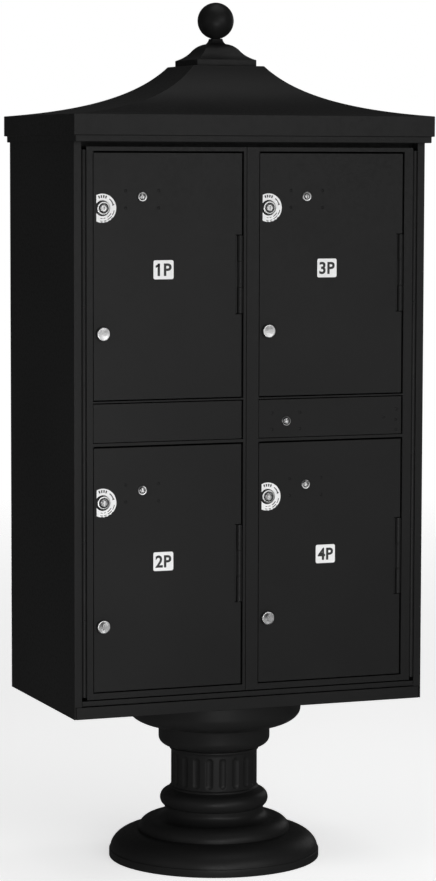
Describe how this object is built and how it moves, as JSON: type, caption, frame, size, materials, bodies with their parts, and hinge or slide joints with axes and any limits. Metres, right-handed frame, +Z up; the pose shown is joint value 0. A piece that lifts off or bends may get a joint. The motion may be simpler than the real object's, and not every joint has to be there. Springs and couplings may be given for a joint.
{
  "type": "cluster mailbox unit",
  "caption": "Pedestal-mounted cluster mailbox cabinet with lockable parcel doors in two hinged main doors, a concave hipped cap with ball finial and a turned pedestal cover.",
  "frame": {"origin": "middle of the pedestal's base plate, on the ground", "axes": "+Z up, +X to the right seen from the front, front doors face -Y"},
  "size_m": [0.793, 0.4745, 1.823],
  "materials": {
    "black_coat": "satin black powder coat",
    "inner_coat": "thin dark coat inside the cabinet",
    "brushed_steel": "brushed stainless",
    "bright_zinc": "bright zinc and nickel plate",
    "cam_brass": "plain brass",
    "white_label": "white printed label",
    "black_print": "black print and rubber"
  },
  "bodies": {
    "cabinet": {"pedestal_post": "bright_zinc", "pedestal_cover_front": "black_coat", "pedestal_cover_rear": "black_coat", "side_panel_left": "black_coat", "side_panel_right": "black_coat", "back_panel": "black_coat", "top_panel": "inner_coat", "bottom_pan": "black_coat", "sill_rail": "black_coat", "compartment_floor": "inner_coat", "shelf_lower": "inner_coat", "shelf_upper": "inner_coat", "centre_partition": "inner_coat", "roof_cap": "black_coat", "finial_base": "black_coat", "finial_ball": "black_coat", "main_hinge_left_jamb_leaf": "black_coat", "main_hinge_right_jamb_leaf": "black_coat", "main_hinge_left_pin": "brushed_steel", "main_hinge_right_pin": "brushed_steel"},
    "left_main": {"main_door_left": "black_coat", "middle_panel_left": "black_coat", "main_hinge_left_door_leaf": "black_coat", "parcel_hinge_1_frame_leaf": "black_coat", "parcel_hinge_1_pin": "brushed_steel", "parcel_hinge_2_frame_leaf": "black_coat", "parcel_hinge_2_pin": "brushed_steel"},
    "right_main": {"main_door_right": "black_coat", "middle_panel_right": "black_coat", "main_hinge_right_door_leaf": "black_coat", "parcel_hinge_3_frame_leaf": "black_coat", "parcel_hinge_3_pin": "brushed_steel", "parcel_hinge_4_frame_leaf": "black_coat", "parcel_hinge_4_pin": "brushed_steel"},
    "parcel_1": {"parcel_door_1": "black_coat", "parcel_hinge_1_door_leaf": "black_coat", "pull_knob_1": "brushed_steel"},
    "customer_lock_1": {"customer_lock_1_plug": "bright_zinc", "customer_lock_1_cam": "cam_brass"},
    "carrier_lock_1": {"carrier_lock_1_rotor": "bright_zinc"},
    "parcel_2": {"parcel_door_2": "black_coat", "parcel_hinge_2_door_leaf": "black_coat", "pull_knob_2": "brushed_steel"},
    "customer_lock_2": {"customer_lock_2_plug": "bright_zinc", "customer_lock_2_cam": "cam_brass"},
    "carrier_lock_2": {"carrier_lock_2_rotor": "bright_zinc"},
    "parcel_3": {"parcel_door_3": "black_coat", "parcel_hinge_3_door_leaf": "black_coat", "pull_knob_3": "brushed_steel"},
    "customer_lock_3": {"customer_lock_3_plug": "bright_zinc", "customer_lock_3_cam": "cam_brass"},
    "carrier_lock_3": {"carrier_lock_3_rotor": "bright_zinc"},
    "parcel_4": {"parcel_door_4": "black_coat", "parcel_hinge_4_door_leaf": "black_coat", "pull_knob_4": "brushed_steel"},
    "customer_lock_4": {"customer_lock_4_plug": "bright_zinc", "customer_lock_4_cam": "cam_brass"},
    "carrier_lock_4": {"carrier_lock_4_rotor": "bright_zinc"},
    "master_lock": {"master_lock_rotor": "bright_zinc"},
    "latch": {"latch_bar": "bright_zinc"}
  },
  "joints": [
    {"name": "left_main_hinge", "type": "hinge", "parent": "cabinet", "child": "left_main", "pos_m": [-0.36575, -0.213, 0.9565], "axis": [0, 0, -1], "range_deg": [0, 110]},
    {"name": "right_main_hinge", "type": "hinge", "parent": "cabinet", "child": "right_main", "pos_m": [0.36575, -0.213, 0.9565], "axis": [0, 0, 1], "range_deg": [0, 110]},
    {"name": "parcel_hinge_1", "type": "hinge", "parent": "left_main", "child": "parcel_1", "pos_m": [-0.027, -0.213, 1.25885], "axis": [0, 0, 1], "range_deg": [0, 100]},
    {"name": "customer_lock_turn_1", "type": "hinge", "parent": "parcel_1", "child": "customer_lock_1", "pos_m": [-0.3245, -0.216, 1.3953], "axis": [0, 1, 0], "range_deg": [0, 90]},
    {"name": "carrier_lock_turn_1", "type": "hinge", "parent": "parcel_1", "child": "carrier_lock_1", "pos_m": [-0.2415, -0.216, 1.4182], "axis": [0, 1, 0], "range_deg": [0, 90]},
    {"name": "parcel_hinge_2", "type": "hinge", "parent": "left_main", "child": "parcel_2", "pos_m": [-0.027, -0.213, 0.66115], "axis": [0, 0, 1], "range_deg": [0, 100]},
    {"name": "customer_lock_turn_2", "type": "hinge", "parent": "parcel_2", "child": "customer_lock_2", "pos_m": [-0.3245, -0.216, 0.7976], "axis": [0, 1, 0], "range_deg": [0, 90]},
    {"name": "carrier_lock_turn_2", "type": "hinge", "parent": "parcel_2", "child": "carrier_lock_2", "pos_m": [-0.2415, -0.216, 0.8205], "axis": [0, 1, 0], "range_deg": [0, 90]},
    {"name": "parcel_hinge_3", "type": "hinge", "parent": "right_main", "child": "parcel_3", "pos_m": [0.334, -0.213, 1.25885], "axis": [0, 0, 1], "range_deg": [0, 100]},
    {"name": "customer_lock_turn_3", "type": "hinge", "parent": "parcel_3", "child": "customer_lock_3", "pos_m": [0.0365, -0.216, 1.3953], "axis": [0, 1, 0], "range_deg": [0, 90]},
    {"name": "carrier_lock_turn_3", "type": "hinge", "parent": "parcel_3", "child": "carrier_lock_3", "pos_m": [0.1195, -0.216, 1.4182], "axis": [0, 1, 0], "range_deg": [0, 90]},
    {"name": "parcel_hinge_4", "type": "hinge", "parent": "right_main", "child": "parcel_4", "pos_m": [0.334, -0.213, 0.66115], "axis": [0, 0, 1], "range_deg": [0, 100]},
    {"name": "customer_lock_turn_4", "type": "hinge", "parent": "parcel_4", "child": "customer_lock_4", "pos_m": [0.0365, -0.216, 0.7976], "axis": [0, 1, 0], "range_deg": [0, 90]},
    {"name": "carrier_lock_turn_4", "type": "hinge", "parent": "parcel_4", "child": "carrier_lock_4", "pos_m": [0.1195, -0.216, 0.8205], "axis": [0, 1, 0], "range_deg": [0, 90]},
    {"name": "master_lock_turn", "type": "hinge", "parent": "right_main", "child": "master_lock", "pos_m": [0.0753, -0.216, 0.9541], "axis": [0, 1, 0], "range_deg": [0, 90]},
    {"name": "latch_slide", "type": "slide", "parent": "right_main", "child": "latch", "axis": [-1, 0, 0], "range_m": [0, 0.0221]}
  ],
  "couplings": [
    {"joint": "latch_slide", "follows": "master_lock_turn", "m_per_rad": 0.014}
  ]
}
